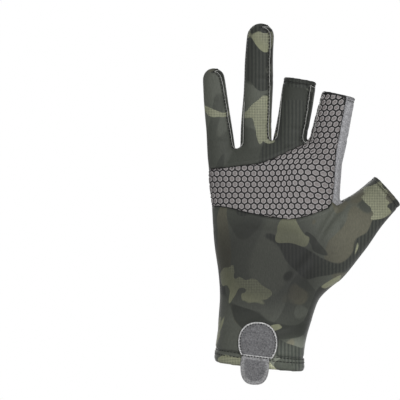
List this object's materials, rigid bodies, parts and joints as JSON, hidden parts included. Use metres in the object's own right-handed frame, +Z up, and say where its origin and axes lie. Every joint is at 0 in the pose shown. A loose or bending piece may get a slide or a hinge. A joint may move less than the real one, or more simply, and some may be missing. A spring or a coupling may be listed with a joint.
{
  "type": "fishing glove",
  "caption": "Right-hand open-finger sun glove in camouflage jersey, with a hexagon grip patch across the palm, finger gussets, stitched cuff hem and a grey pull tab.",
  "frame": {"origin": "centre of the wrist opening, where the hand goes in", "axes": "+Z up along the hand to the fingertips, palm facing -Y, back of the hand facing +Y, thumb on +X"},
  "size_m": [0.1368, 0.0465, 0.252],
  "materials": {
    "camo_jersey": "printed stretch jersey, camouflage in grey-greens, soft satin",
    "dark_jersey": "dark stretch jersey",
    "hem_jersey": "folded and stitched stretch jersey",
    "grip_film": "raised grey hexagons on a black net",
    "grey_suede": "grey synthetic suede",
    "grey_felt": "heathered grey felt",
    "black_thread": "spun sewing thread",
    "silver_thread": "pale grey seam thread"
  },
  "bodies": {
    "root": {"back_panel": "camo_jersey", "palm_panel": "camo_jersey", "finger_front_panel": "camo_jersey", "grip_patch": "grip_film", "index_side_panel": "grey_suede", "pinky_ring_gusset": "dark_jersey", "ring_middle_gusset": "dark_jersey", "middle_index_gusset": "dark_jersey", "thumb_gusset": "dark_jersey", "cuff_hem": "hem_jersey", "index_opening_hem": "hem_jersey", "middle_opening_hem": "hem_jersey", "thumb_opening_hem": "hem_jersey", "pull_tab_patch": "grey_felt", "pull_tab_tongue": "grey_felt"}
  },
  "joints": []
}
